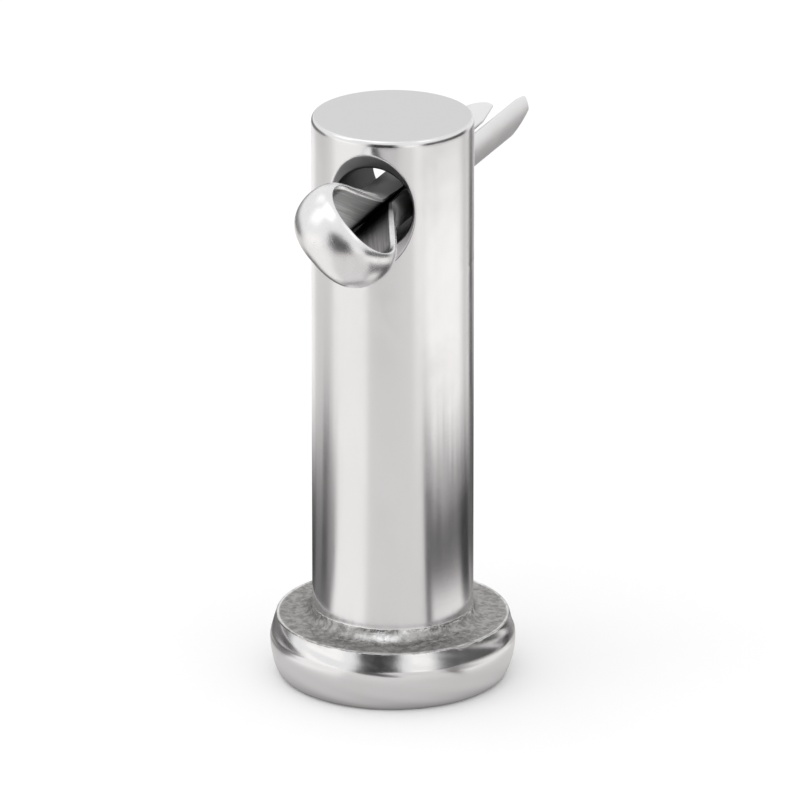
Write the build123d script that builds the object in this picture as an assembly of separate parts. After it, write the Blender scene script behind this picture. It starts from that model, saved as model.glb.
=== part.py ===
from build123d import *
import os
from math import radians, tan

# Clevis pin with its split pin, in millimetres.
#
# The clevis pin is one piece: a round shank with a forged head. It stands on the head's flat face,
# whose centre is the origin, and +Z runs up the shank. A countersunk cross hole near the free end
# lies along Y. The split pin is one length of half-round wire, folded flat side to flat side round
# an eye. It sits loosely in the cross hole, its eye towards -Y and its two legs towards +Y.

# Shank and head
SHANK_RADIUS = 4.0
LENGTH_UNDER_HEAD = 26.0
END_ROUNDING = 0.3
HEAD_RADIUS = 6.1
HEAD_THICKNESS = 3.1
HEAD_FACE_RADIUS = 5.45  # flat that the pin stands on
BEARING_RADIUS = 5.8  # flat under the head, which bears on the fork
RIM_HEIGHT = 1.9  # widest part of the rim, above the flat that the pin stands on
HEAD_FILLET = 0.6

# Cross hole
HOLE_RADIUS = 2.0
HOLE_FROM_END = 3.7
COUNTERSINK_RADIUS = 2.95  # at the crown of the shank
COUNTERSINK_DEPTH = 0.85

# Wire of the split pin: round side out, one arc over its flat side
WIRE_HALF_WIDTH = 1.4
WIRE_THICKNESS = 1.25
LEG_GAP = 0.14

# Bends of the split pin. Distances run along it, outwards from the crown of the shank. Each side of
# the eye starts at a neck and leaves the pin's own axis at a slope, in degrees.
EYE_END = 4.7  # inner side of the wire
EYE_BEND = 1.3
NECK_BEND = 2.2
LONG_SIDE_NECK, LONG_SIDE_SLOPE = 0.55, 28.5
SHORT_SIDE_NECK, SHORT_SIDE_SLOPE = 0.85, 33.5
LONG_LEG = 19.6
SHORT_LEG = 16.2

# The eye is pressed thin round a mandrel, whose outline has a neck and slope on each side too
MANDREL_END = 5.3
MANDREL_BEND = 1.7
MANDREL_LONG_NECK, MANDREL_LONG_SLOPE = 0.0, 31.0
MANDREL_SHORT_NECK, MANDREL_SHORT_SLOPE = 0.55, 39.0

# Leg tips: each is bevelled on both sides of the wire, by so much along the leg and across it
LONG_TIP_FLAT, LONG_TIP_ROUND = (1.0, 0.1), (1.5, 0.45)
SHORT_TIP_FLAT, SHORT_TIP_ROUND = (2.2, 0.3), (0.55, 0.65)
TIP_EDGE = 0.1

# How the split pin lies in the cross hole
EYE_ROLL = 45.0  # the flat of the eye, turned about the pin's own axis
SKEW = 3.3  # off the hole's axis, in the plane of the eye
SKEW_PIVOT = 7.7  # where the two axes cross, from the shank's axis towards the eye

PIN_TOP = HEAD_THICKNESS + LENGTH_UNDER_HEAD
HOLE_HEIGHT = PIN_TOP - HOLE_FROM_END
HALF_GAP = LEG_GAP / 2


def clevis_pin() -> Part:
    """Shank and head as one turned profile, less the cross hole."""
    with BuildPart() as pin:
        with BuildSketch(Plane.XZ):
            with BuildLine():
                Line((0, 0), (HEAD_FACE_RADIUS, 0))
                EllipticalCenterArc(
                    (HEAD_FACE_RADIUS, RIM_HEIGHT),
                    HEAD_RADIUS - HEAD_FACE_RADIUS,
                    RIM_HEIGHT,
                    start_angle=-90,
                )
                TangentArc(
                    (HEAD_RADIUS, RIM_HEIGHT), (BEARING_RADIUS, HEAD_THICKNESS), tangent=(0, 1)
                )
                foot_centre = (SHANK_RADIUS + HEAD_FILLET, HEAD_THICKNESS + HEAD_FILLET)
                foot = CenterArc(foot_centre, HEAD_FILLET, start_angle=270, arc_size=-90)
                Line((BEARING_RADIUS, HEAD_THICKNESS), foot @ 0)
                edge_centre = (SHANK_RADIUS - END_ROUNDING, PIN_TOP - END_ROUNDING)
                edge = CenterArc(edge_centre, END_ROUNDING, start_angle=0, arc_size=90)
                Line(foot @ 1, edge @ 0)
                Polyline(edge @ 1, (0, PIN_TOP), (0, 0))
            make_face()
        revolve(axis=Axis.Z)
        add(cross_drill(), mode=Mode.SUBTRACT)
    return pin.part


def cross_drill() -> Part:
    """Cross hole and the cones of both its mouths, turned about the hole's own axis."""
    beyond = 1.0
    flare = (COUNTERSINK_RADIUS - HOLE_RADIUS) / COUNTERSINK_DEPTH
    cone_start = SHANK_RADIUS - COUNTERSINK_DEPTH
    cone_end = SHANK_RADIUS + beyond
    cone_radius = COUNTERSINK_RADIUS + beyond * flare
    with BuildPart() as drill:
        with BuildSketch(Plane.YZ):
            with BuildLine():
                half = [(0, HOLE_RADIUS), (cone_start, HOLE_RADIUS), (cone_end, cone_radius), (cone_end, 0)]
                Polyline(*half, (0, 0))
                Line((0, 0), (0, HOLE_RADIUS))
            make_face()
            mirror(about=Plane.YZ)
        revolve(axis=Axis.Y)
    return drill.part.moved(Location((0, 0, HOLE_HEIGHT)))


def loop_plane() -> Plane:
    """Plane of the folded wire: x outwards through the eye, y across it, origin at the shank's crown."""
    level = Plane(origin=(0, -SKEW_PIVOT, HOLE_HEIGHT), x_dir=(0, -1, 0), z_dir=(0, 0, 1))
    turned = level * Rotation(-EYE_ROLL, 0, 0) * Rotation(0, 0, -SKEW)
    return Plane(turned * Pos(SHANK_RADIUS - SKEW_PIVOT, 0, 0))


def eye_corner(neck: float, slope: float, end: float, side: int) -> tuple:
    """Corner between one side of the eye and the straight across its end, before it is rounded."""
    return (end, side * (end - neck) * tan(radians(slope)))


def tip_waste(length: float, side: int, flat_bevel: tuple, round_bevel: tuple) -> Sketch:
    """What is cut off one leg's tip, drawn in the plane of the eye: all that lies past its bevels."""
    over = 1.2  # the cut runs past the wire by this share of each bevel
    past_tip = 1.0
    tip, outside = -length, HALF_GAP + WIRE_THICKNESS
    start = (tip + over * flat_bevel[0], side * (HALF_GAP - (over - 1) * flat_bevel[1]))
    end = (tip + over * round_bevel[0], side * (outside + (over - 1) * round_bevel[1]))
    corners = [(tip, side * (HALF_GAP + flat_bevel[1])), (tip, side * (outside - round_bevel[1]))]
    with BuildSketch() as waste:
        with BuildLine():
            cut = FilletPolyline(start, *corners, end, radius=TIP_EDGE)
            Polyline(cut @ 1, (tip - past_tip, end[1]), (tip - past_tip, start[1]), cut @ 0)
        make_face()
    return waste.sketch


def split_pin() -> Part:
    """Half-round wire swept round the eye, pressed thin inside it, then cut at both leg tips."""
    loop = loop_plane()
    long_side = eye_corner(LONG_SIDE_NECK, LONG_SIDE_SLOPE, EYE_END, 1)
    short_side = eye_corner(SHORT_SIDE_NECK, SHORT_SIDE_SLOPE, EYE_END, -1)
    wire_route = [
        (-LONG_LEG, HALF_GAP),
        (LONG_SIDE_NECK, HALF_GAP),
        (long_side[0], long_side[1] + HALF_GAP),
        (short_side[0], short_side[1] - HALF_GAP),
        (SHORT_SIDE_NECK, -HALF_GAP),
        (-SHORT_LEG, -HALF_GAP),
    ]
    mandrel_route = [
        (MANDREL_LONG_NECK, 0),
        eye_corner(MANDREL_LONG_NECK, MANDREL_LONG_SLOPE, MANDREL_END, 1),
        eye_corner(MANDREL_SHORT_NECK, MANDREL_SHORT_SLOPE, MANDREL_END, -1),
        (MANDREL_SHORT_NECK, 0),
    ]
    with BuildPart() as pin:
        with BuildLine(loop) as route:
            FilletPolyline(*wire_route, radius=[NECK_BEND, EYE_BEND, EYE_BEND, NECK_BEND])
        start = loop.from_local_coords(Vector(*wire_route[0]))
        with BuildSketch(Plane(origin=start, x_dir=loop.y_dir, z_dir=loop.x_dir)):
            with BuildLine():
                flat = [(0, -WIRE_HALF_WIDTH), (0, WIRE_HALF_WIDTH)]
                ThreePointArc(flat[0], (WIRE_THICKNESS, 0), flat[1])
                Line(*flat)
            make_face()
        sweep(path=route.wires()[0])

        with BuildSketch(loop):
            with BuildLine():
                mandrel = FilletPolyline(*mandrel_route, radius=MANDREL_BEND)
                Line(mandrel @ 1, mandrel @ 0)
            make_face()
            add(tip_waste(LONG_LEG, 1, LONG_TIP_FLAT, LONG_TIP_ROUND))
            add(tip_waste(SHORT_LEG, -1, SHORT_TIP_FLAT, SHORT_TIP_ROUND))
        extrude(amount=WIRE_HALF_WIDTH + 0.5, both=True, mode=Mode.SUBTRACT)
    return pin.part


os.makedirs("parts", exist_ok=True)
for name, piece in {"clevis_pin": clevis_pin(), "split_pin": split_pin()}.items():
    export_step(piece, f"parts/{name}.step")
    box = piece.bounding_box()
    print(f"{name}: {len(piece.solids())} solid, {piece.volume:.1f} mm3, from {box.min} to {box.max}")
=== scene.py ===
"""Clevis pin with its split pin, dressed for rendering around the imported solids.

Both pieces are surfaces worked out with numpy from the same sizes as the solids, and each takes the
place of its solid. Lengths are in millimetres until a mesh is written, which is in metres. The pin
stands on its head, with the centre of the head's flat face at the origin and +Z up the shank.
"""

import logging
from dataclasses import dataclass, field
from enum import Enum
from math import cos, pi, radians, sin, tan

import bmesh
import bpy
import numpy as np
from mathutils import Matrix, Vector


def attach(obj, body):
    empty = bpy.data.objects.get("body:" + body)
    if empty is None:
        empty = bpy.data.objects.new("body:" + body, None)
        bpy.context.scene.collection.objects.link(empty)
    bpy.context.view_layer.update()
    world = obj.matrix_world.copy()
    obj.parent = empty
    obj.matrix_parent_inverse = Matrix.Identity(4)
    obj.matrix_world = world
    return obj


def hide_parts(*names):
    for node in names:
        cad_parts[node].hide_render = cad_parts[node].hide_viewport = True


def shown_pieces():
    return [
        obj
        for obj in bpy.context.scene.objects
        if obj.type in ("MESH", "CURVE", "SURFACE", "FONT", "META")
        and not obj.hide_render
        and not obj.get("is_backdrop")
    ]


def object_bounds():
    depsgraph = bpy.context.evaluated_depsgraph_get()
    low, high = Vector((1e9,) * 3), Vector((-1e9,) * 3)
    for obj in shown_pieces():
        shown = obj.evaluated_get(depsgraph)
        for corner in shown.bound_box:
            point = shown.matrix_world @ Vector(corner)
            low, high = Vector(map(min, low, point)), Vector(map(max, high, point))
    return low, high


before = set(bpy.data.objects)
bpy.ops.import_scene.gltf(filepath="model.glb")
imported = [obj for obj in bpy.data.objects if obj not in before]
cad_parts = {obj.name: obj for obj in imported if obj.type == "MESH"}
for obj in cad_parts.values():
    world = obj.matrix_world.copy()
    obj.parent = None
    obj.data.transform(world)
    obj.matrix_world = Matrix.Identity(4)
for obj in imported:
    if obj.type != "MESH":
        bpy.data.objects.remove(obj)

MM = 0.001
MERGE_DISTANCE = 1e-7  # metres within which the points of a shared border are one point
log = logging.getLogger("clevis_pin")

Socket = bpy.types.NodeSocket
Colour = tuple[float, float, float]


# ---------------------------------------------------------------- surfaces


class Mask(Enum):
    """Named parts of a surface, kept on its vertices so that the steel can differ there."""

    CUT = "cut"  # faced ends
    FORGED = "forged"  # bearing face and its fillet
    DRILLED_AND_SHADED = "drilled_and_shaded"  # bore and countersink: drilled, with painted shade in the hole
    EDGE = "edge"  # corners that handling polishes, and a painted glint at the front of the pin's fillet
    FLAT = "flat"  # flat side of the half-round wire
    PRESSED = "pressed"  # eye, where the wire was pressed thin
    GAP_SHADE = "gap_shade"  # painted shade in the corner of the eye and between the legs in the hole


@dataclass
class Patch:
    """Grid of points, rows by columns by three, with masks and map positions on the same grid."""

    points: np.ndarray
    masks: dict[Mask, np.ndarray] = field(default_factory=dict)
    chart: np.ndarray | None = None

    def mask(self, name: Mask) -> np.ndarray:
        """One mask as a flat array, nought where the patch doesn't set it."""
        shape = self.points.shape[:2]
        return np.broadcast_to(self.masks.get(name, 0.0), shape).astype(np.float32).ravel()

    def chart_points(self) -> np.ndarray:
        """Map positions, all nought where the patch has none.

        Returns:
            Positions, two to a row, one row for each point.
        """
        if self.chart is None:
            return np.zeros((self.points.shape[0] * self.points.shape[1], 2), np.float32)
        return self.chart.reshape(-1, 2).astype(np.float32)


def grid_quads(rows: int, columns: int, first: int) -> np.ndarray:
    """Quads of a grid: each joins a point to its neighbours in the next column and the next row.

    Args:
        rows: Points down the grid.
        columns: Points across it.
        first: Number of the grid's first vertex.

    Returns:
        Vertex numbers, four to a row.
    """
    number = np.arange(rows * columns).reshape(rows, columns) + first
    corners = [number[:-1, :-1], number[:-1, 1:], number[1:, 1:], number[1:, :-1]]
    return np.stack(corners, axis=-1).reshape(-1, 4)


def weld(name: str, patches: list[Patch], masks: list[Mask]) -> bpy.types.Object:
    """Joins patches into one closed, smooth piece, with every shared border merged.

    Args:
        name: Name of the new object.
        patches: Grids in millimetres. A row whose points are all one point becomes a closed pole.
        masks: Masks to keep on the vertices.

    Returns:
        The object, at the origin, with its place in its mesh.
    """
    points = np.concatenate([p.points.reshape(-1, 3) for p in patches]) * MM
    counts = [p.points.shape[0] * p.points.shape[1] for p in patches]
    firsts = np.concatenate([[0], np.cumsum(counts)[:-1]])
    quads = np.concatenate([grid_quads(*p.points.shape[:2], int(first)) for p, first in zip(patches, firsts)])
    mesh = bpy.data.meshes.new(name)
    mesh.from_pydata(points.tolist(), [], quads.tolist())
    for mask in masks:
        layer = mesh.attributes.new(mask.value, "FLOAT", "POINT")
        layer.data.foreach_set("value", np.concatenate([p.mask(mask) for p in patches]))
    chart = np.concatenate([p.chart_points() for p in patches])
    mesh.uv_layers.new(name="chart").data.foreach_set("uv", chart[quads.ravel()].ravel())

    work = bmesh.new()
    work.from_mesh(mesh)
    bmesh.ops.remove_doubles(work, verts=work.verts, dist=MERGE_DISTANCE)
    bmesh.ops.recalc_face_normals(work, faces=work.faces)
    loose = sum(not edge.is_manifold for edge in work.edges)
    work.to_mesh(mesh)
    work.free()
    mesh.polygons.foreach_set("use_smooth", np.ones(len(mesh.polygons), bool))
    mesh.update()
    piece = bpy.data.objects.new(name, mesh)
    bpy.context.scene.collection.objects.link(piece)
    log.info("%s: %d faces, %d open edges", name, len(mesh.polygons), loose)
    return piece


def bezier(start: np.ndarray, corner: np.ndarray, end: np.ndarray, steps: int) -> np.ndarray:
    """Rounds a corner with the curve (1-t)^2 start + 2t(1-t) corner + t^2 end.

    Args:
        start: Points where the rounding starts, in any number, three to a row.
        corner: The sharp corner beside each.
        end: Points where it ends.
        steps: Rows in the result, ends included.

    Returns:
        Array of steps by points by three.
    """
    t = np.linspace(0, 1, steps)[:, None, None]
    return (1 - t) ** 2 * start + 2 * t * (1 - t) * corner + t**2 * end


def blend(start: np.ndarray, end: np.ndarray, shares: np.ndarray) -> np.ndarray:
    """Rows between two rows of points: start + share (end - start) for each share."""
    return start + shares[:, None, None] * (end - start)


def ripple(angle: np.ndarray, waves: tuple[int, int], seed: int) -> np.ndarray:
    """Unevenness round a ring: a sum of cosines of whole wave counts with fixed random phases.

    Args:
        angle: Angles round the ring.
        waves: Lowest and highest wave count.
        seed: Picks the phases and heights.

    Returns:
        Values of about -1 to 1, in the shape of angle.
    """
    draw = np.random.default_rng(seed)
    counts = np.arange(waves[0], waves[1] + 1)
    phases = draw.uniform(0, 2 * pi, counts.size)
    heights = draw.uniform(0.4, 1.0, counts.size)
    total = np.cos(np.asarray(angle)[..., None] * counts + phases) * heights
    return total.sum(-1) / np.sqrt(counts.size) / 1.2


# ---------------------------------------------------------------- nodes


class Wiring:
    """Adds nodes to a tree and joins them, keeping what is plugged in apart from what is typed in."""

    def __init__(self, tree: bpy.types.NodeTree) -> None:
        """Starts on a tree."""
        self.tree = tree

    def add(self, kind: str, inputs: dict | None = None, **settings: object) -> bpy.types.Node:
        """Adds a node.

        Args:
            kind: Node type.
            inputs: Values or sockets by input name or number.
            settings: Properties of the node itself.

        Returns:
            The node.
        """
        node = self.tree.nodes.new(kind)
        for key, value in settings.items():
            setattr(node, key, value)
        for key, value in (inputs or {}).items():
            self.feed(node.inputs[key], value)
        return node

    def feed(self, socket: Socket, value: object) -> None:
        """Links a socket to another, or sets its value.

        Args:
            socket: The input.
            value: A socket to link it to, or its value.
        """
        if isinstance(value, bpy.types.NodeSocket):
            self.tree.links.new(value, socket)
        else:
            socket.default_value = value

    def maths(self, operation: str, first: object, second: object = 0.0) -> Socket:
        """Arithmetic on two numbers."""
        return self.add("ShaderNodeMath", {0: first, 1: second}, operation=operation).outputs[0]

    def plus(self, first: object, second: object) -> Socket:
        """Sum of two numbers."""
        return self.maths("ADD", first, second)

    def minus(self, first: object, second: object) -> Socket:
        """First number less the second."""
        return self.maths("SUBTRACT", first, second)

    def times(self, first: object, second: object) -> Socket:
        """Product of two numbers."""
        return self.maths("MULTIPLY", first, second)

    def step(self, value: Socket, low: float, high: float, to: tuple = (0.0, 1.0)) -> Socket:
        """Smooth step of a value from one level to another as it goes from low to high."""
        limits = {"Value": value, "From Min": low, "From Max": high, "To Min": to[0], "To Max": to[1]}
        return self.add("ShaderNodeMapRange", limits, interpolation_type="SMOOTHSTEP").outputs[0]

    def mix(self, share: object, first: object, second: object) -> Socket:
        """Number between two others."""
        inputs = {0: share, 2: first, 3: second}
        return self.add("ShaderNodeMix", inputs, data_type="FLOAT").outputs[0]

    def mix_colour(self, share: object, first: object, second: object) -> Socket:
        """Colour between two others.

        Args:
            share: Share of the second.
            first: A socket, or red, green and blue.
            second: The same.

        Returns:
            The colour.
        """
        first, second = (c if isinstance(c, bpy.types.NodeSocket) else (*c, 1.0) for c in (first, second))
        inputs = {0: share, 6: first, 7: second}
        return self.add("ShaderNodeMix", inputs, data_type="RGBA").outputs[2]

    def noise(self, place: Socket, scale: object, detail: float = 2.0, rough: float = 0.5) -> Socket:
        """Cloud noise at a place."""
        inputs = {"Vector": place, "Scale": scale, "Detail": detail, "Roughness": rough}
        return self.add("ShaderNodeTexNoise", inputs).outputs["Fac"]

    def place(self, scale: tuple | float, turn: tuple = (0.0, 0.0, 0.0),
              source: Socket | None = None) -> Socket:
        """Object coordinates in millimetres, or another source, stretched and then turned.

        Args:
            scale: Stretch along each axis, or one for all three.
            turn: Angles about the axes, in radians.
            source: Coordinates to use in place of the object's.

        Returns:
            The coordinates.
        """
        if isinstance(scale, float):
            scale = (scale, scale, scale)
        if source is None:
            source = self.add("ShaderNodeTexCoord").outputs["Object"]
            scale = tuple(s / MM for s in scale)
        inputs = {"Vector": source, "Rotation": turn, "Scale": scale}
        return self.add("ShaderNodeMapping", inputs, vector_type="POINT").outputs[0]

    def mask(self, mask: Mask) -> Socket:
        """One of the piece's own masks."""
        return self.add("ShaderNodeAttribute", attribute_name=mask.value).outputs["Fac"]


def new_group(name: str, inputs: dict[str, str], outputs: list[str]) -> tuple:
    """Starts a node group with named sockets.

    Args:
        name: Name of the group.
        inputs: Socket type, Float or Vector, by input name.
        outputs: Names of the outputs, which are all numbers.

    Returns:
        The group, its wiring, its input node and its output node.
    """
    tree = bpy.data.node_groups.new(name, "ShaderNodeTree")
    for socket, kind in inputs.items():
        tree.interface.new_socket(socket, in_out="INPUT", socket_type=f"NodeSocket{kind}")
    for socket in outputs:
        tree.interface.new_socket(socket, in_out="OUTPUT", socket_type="NodeSocketFloat")
    wiring = Wiring(tree)
    return tree, wiring, wiring.add("NodeGroupInput"), wiring.add("NodeGroupOutput")


def fine_lines() -> bpy.types.NodeTree:
    """Lines left by a tool: noise that the caller has stretched along them, in two depths.

    Returns:
        The group, which gives the height of both together and the coarse one alone.
    """
    tree, w, given, made = new_group("fine lines", {"Place": "Vector"}, ["Height", "Coarse"])
    fine = w.noise(given.outputs["Place"], 1.0, 3.0, 0.65)
    coarse = w.noise(given.outputs["Place"], 0.23, 2.0, 0.5)
    w.feed(made.inputs["Height"], w.plus(w.times(fine, 0.6), w.times(coarse, 0.4)))
    w.feed(made.inputs["Coarse"], coarse)
    return tree


def scratches() -> bpy.types.NodeTree:
    """Sparse hairline scratches: crests of noise stretched in three directions, where a broad noise is high.

    Returns:
        The group, which gives a mask of the scratches.
    """
    tree, w, given, made = new_group("scratches", {"Place": "Vector"}, ["Mask"])
    total: object = 0.0
    for turn in ((0.3, 0.5, 0.2), (1.2, 2.0, 0.9), (2.2, 0.9, 2.6)):
        turned = w.place(1.0, turn, given.outputs["Place"])
        thin = w.noise(w.place((0.12, 5.0, 5.0), source=turned), 1.0, 1.0)
        crest = w.maths("ABSOLUTE", w.minus(thin, 0.5))
        line = w.step(crest, 0.0, 0.012, (1.0, 0.0))
        where = w.step(w.noise(w.place((0.3, 0.7, 0.7), source=turned), 1.0, 1.0), 0.55, 0.68)
        total = w.plus(total, w.times(line, where))
    w.feed(made.inputs["Mask"], w.maths("MINIMUM", total, 1.0))
    return tree


def pits() -> bpy.types.NodeTree:
    """Small pits: cells whose middles are low, kept only where a second noise is high.

    Returns:
        The group, which gives the height and a mask of the pits.
    """
    tree, w, given, made = new_group("pits", {"Place": "Vector", "Amount": "Float"}, ["Height", "Mask"])
    cells = w.add("ShaderNodeTexVoronoi", {"Vector": given.outputs["Place"], "Scale": 1.0})
    bowl = w.step(cells.outputs["Distance"], 0.05, 0.42)
    level = w.minus(0.75, w.times(given.outputs["Amount"], 0.5))
    chance = w.minus(w.noise(given.outputs["Place"], 0.6, 2.0), level)
    kept = w.step(chance, 0.0, 0.12)
    low = w.times(w.minus(1.0, bowl), kept)
    w.feed(made.inputs["Height"], w.minus(1.0, low))
    w.feed(made.inputs["Mask"], low)
    return tree


def smudges() -> bpy.types.NodeTree:
    """Handling marks: broad, warped noise spread over its whole range.

    Returns:
        The group, which gives how smudged each place is.
    """
    tree, w, given, made = new_group("smudges", {"Place": "Vector"}, ["Value"])
    inputs = {"Vector": given.outputs["Place"], "Scale": 1.0, "Detail": 4.0, "Roughness": 0.55}
    cloud = w.add("ShaderNodeTexNoise", {**inputs, "Distortion": 0.8}).outputs["Fac"]
    w.feed(made.inputs["Value"], w.step(cloud, 0.32, 0.68))
    return tree


def polish_glint_edges() -> bpy.types.NodeTree:
    """Polish along corners, and the pin's painted glint at the front of its fillet: the edge mask, broken up
    by noise.

    Returns:
        The group, which gives a mask of the polish and the painted glint.
    """
    tree, w, given, made = new_group("worn edges", {"Place": "Vector", "Edge": "Float"}, ["Mask"])
    broken = w.step(w.noise(given.outputs["Place"], 1.0, 3.0), 0.3, 0.6, (0.35, 1.0))
    w.feed(made.inputs["Mask"], w.times(given.outputs["Edge"], broken))
    return tree


class Effect(Enum):
    """Shared effects, each built once as a node group."""

    LINES = "fine lines"
    SCRATCHES = "scratches"
    PITS = "pits"
    SMUDGES = "smudges"
    POLISH_GLINT = "worn edges"


BUILDERS = {
    Effect.LINES: fine_lines,
    Effect.SCRATCHES: scratches,
    Effect.PITS: pits,
    Effect.SMUDGES: smudges,
    Effect.POLISH_GLINT: polish_glint_edges,
}


def effect(w: Wiring, kind: Effect, inputs: dict) -> bpy.types.Node:
    """Places a shared effect in a material, building its group the first time.

    Args:
        w: Wiring of the material.
        kind: Which effect.
        inputs: Values or sockets for the group's inputs.

    Returns:
        The group node.
    """
    tree = bpy.data.node_groups.get(kind.value) or BUILDERS[kind]()
    return w.add("ShaderNodeGroup", inputs, node_tree=tree)


def new_material(name: str) -> tuple[bpy.types.Material, Wiring]:
    """Starts a material without nodes.

    Args:
        name: Name of the material.

    Returns:
        The material and its wiring.
    """
    material = bpy.data.materials.new(name)
    material.use_nodes = True
    material.node_tree.nodes.clear()
    return material, Wiring(material.node_tree)


def finish_steel(w: Wiring, colour: Socket, rough: Socket, height: Socket) -> None:
    """Ends a metal material: its shader, with a bump from the height.

    Args:
        w: Wiring of the material.
        colour: Base colour.
        rough: Roughness.
        height: Height of the surface in millimetres.
    """
    bump = w.add("ShaderNodeBump", {"Height": height, "Distance": MM, "Strength": 1.0}).outputs[0]
    inputs = {"Metallic": 1.0, "Base Color": colour, "Roughness": rough, "Normal": bump}
    shader = w.add("ShaderNodeBsdfPrincipled", inputs)
    w.add("ShaderNodeOutputMaterial", {"Surface": shader.outputs[0]})


# ---------------------------------------------------------------- finishes


@dataclass(frozen=True)
class TurnedSteel:
    """Polished stainless steel of the clevis pin, with cut, forged and drilled parts."""

    polished: Colour = (0.76, 0.76, 0.765)
    smudged: Colour = (0.66, 0.645, 0.63)
    forged: Colour = (0.38, 0.37, 0.36)
    forged_dark: Colour = (0.20, 0.195, 0.19)
    cut: Colour = (0.64, 0.64, 0.645)
    # painted shade in the bore and countersink
    drilled_and_shaded: Colour = (0.07, 0.07, 0.072)
    # polished corners, and the painted glint at the fillet's front
    polish_and_glint: Colour = (0.82, 0.82, 0.82)
    smudge_share: float = 0.10
    polished_roughness: float = 0.11
    forged_roughness: float = 0.30
    cut_roughness: float = 0.40
    drilled_roughness: float = 0.45
    smudge_roughness: float = 0.07  # what a smudge adds
    streak_roughness: float = 0.06  # what the streaks along the shank add
    scratch_roughness: float = 0.05  # what a scratch adds
    round_lines: float = 0.0012  # heights in millimetres, from here on
    along_lines: float = 0.0016
    facing_lines: float = 0.006
    pit_depth: float = 0.012
    clump_height: float = 0.07
    scratch_depth: float = 0.0003

    def material(self) -> bpy.types.Material:
        """Builds the material from the finish.

        Returns:
            The material.
        """
        material, w = new_material("turned_steel")
        forged_edge = w.times(w.noise(w.place(1.6), 1.0, 3.0), 0.5)
        forged = w.step(w.plus(w.mask(Mask.FORGED), forged_edge), 0.6, 0.9)
        cut = w.mask(Mask.CUT)
        drilled_and_shaded = w.mask(Mask.DRILLED_AND_SHADED)

        round_lines = effect(w, Effect.LINES, {"Place": w.place((0.25, 0.25, 16.0))})
        along_lines = effect(w, Effect.LINES, {"Place": w.place((9.0, 9.0, 0.16))})
        smudge = effect(w, Effect.SMUDGES, {"Place": w.place((0.32, 0.32, 0.2))}).outputs["Value"]
        scratch = effect(w, Effect.SCRATCHES, {"Place": w.place(1.0)}).outputs["Mask"]
        pit = effect(w, Effect.PITS, {"Place": w.place(4.5), "Amount": 0.75}).outputs["Height"]
        polish_and_glint = effect(w, Effect.POLISH_GLINT, {"Place": w.place(2.4), "Edge": w.mask(Mask.EDGE)}).outputs["Mask"]

        mottle = w.step(w.noise(w.place(2.6), 1.0, 5.0, 0.65), 0.38, 0.62)
        colour = w.mix_colour(w.times(smudge, self.smudge_share), self.polished, self.smudged)
        colour = w.mix_colour(forged, colour, w.mix_colour(mottle, self.forged_dark, self.forged))
        colour = w.mix_colour(cut, colour, self.cut)
        # painted shade: the bore and countersink are made near black
        colour = w.mix_colour(drilled_and_shaded, colour, self.drilled_and_shaded)
        # polish on corners, and the painted glint at the fillet's front
        colour = w.mix_colour(polish_and_glint, colour, self.polish_and_glint)

        smudged_roughness = self.polished_roughness + self.smudge_roughness
        rough = w.mix(smudge, self.polished_roughness, smudged_roughness)
        rough = w.plus(rough, w.times(along_lines.outputs["Coarse"], self.streak_roughness))
        rough = w.mix(forged, rough, self.forged_roughness)
        rough = w.mix(cut, rough, self.cut_roughness)
        rough = w.mix(drilled_and_shaded, rough, self.drilled_roughness)
        rough = w.plus(rough, w.times(scratch, self.scratch_roughness))

        turned = w.times(round_lines.outputs["Height"], self.round_lines)
        turned = w.plus(turned, w.times(along_lines.outputs["Height"], self.along_lines))
        height = w.mix(cut, turned, w.times(self.face_rings(w), self.facing_lines))
        clumps = w.times(w.noise(w.place(3.2), 1.0, 4.0, 0.6), self.clump_height)
        height = w.mix(forged, height, w.plus(w.times(pit, self.pit_depth), clumps))
        height = w.minus(height, w.times(scratch, self.scratch_depth))
        finish_steel(w, colour, rough, height)
        return material

    def face_rings(self, w: Wiring) -> Socket:
        """Facing marks: noise of the distance from the axis alone, so that they are rings.

        Args:
            w: Wiring of the material.

        Returns:
            Height of the marks.
        """
        flat = w.place((1.0, 1.0, 0.0))
        reach = w.add("ShaderNodeVectorMath", {0: flat}, operation="LENGTH").outputs["Value"]
        line = w.add("ShaderNodeCombineXYZ", {"X": w.times(reach, 7.0)}).outputs[0]
        return effect(w, Effect.LINES, {"Place": line}).outputs["Height"]


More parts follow.
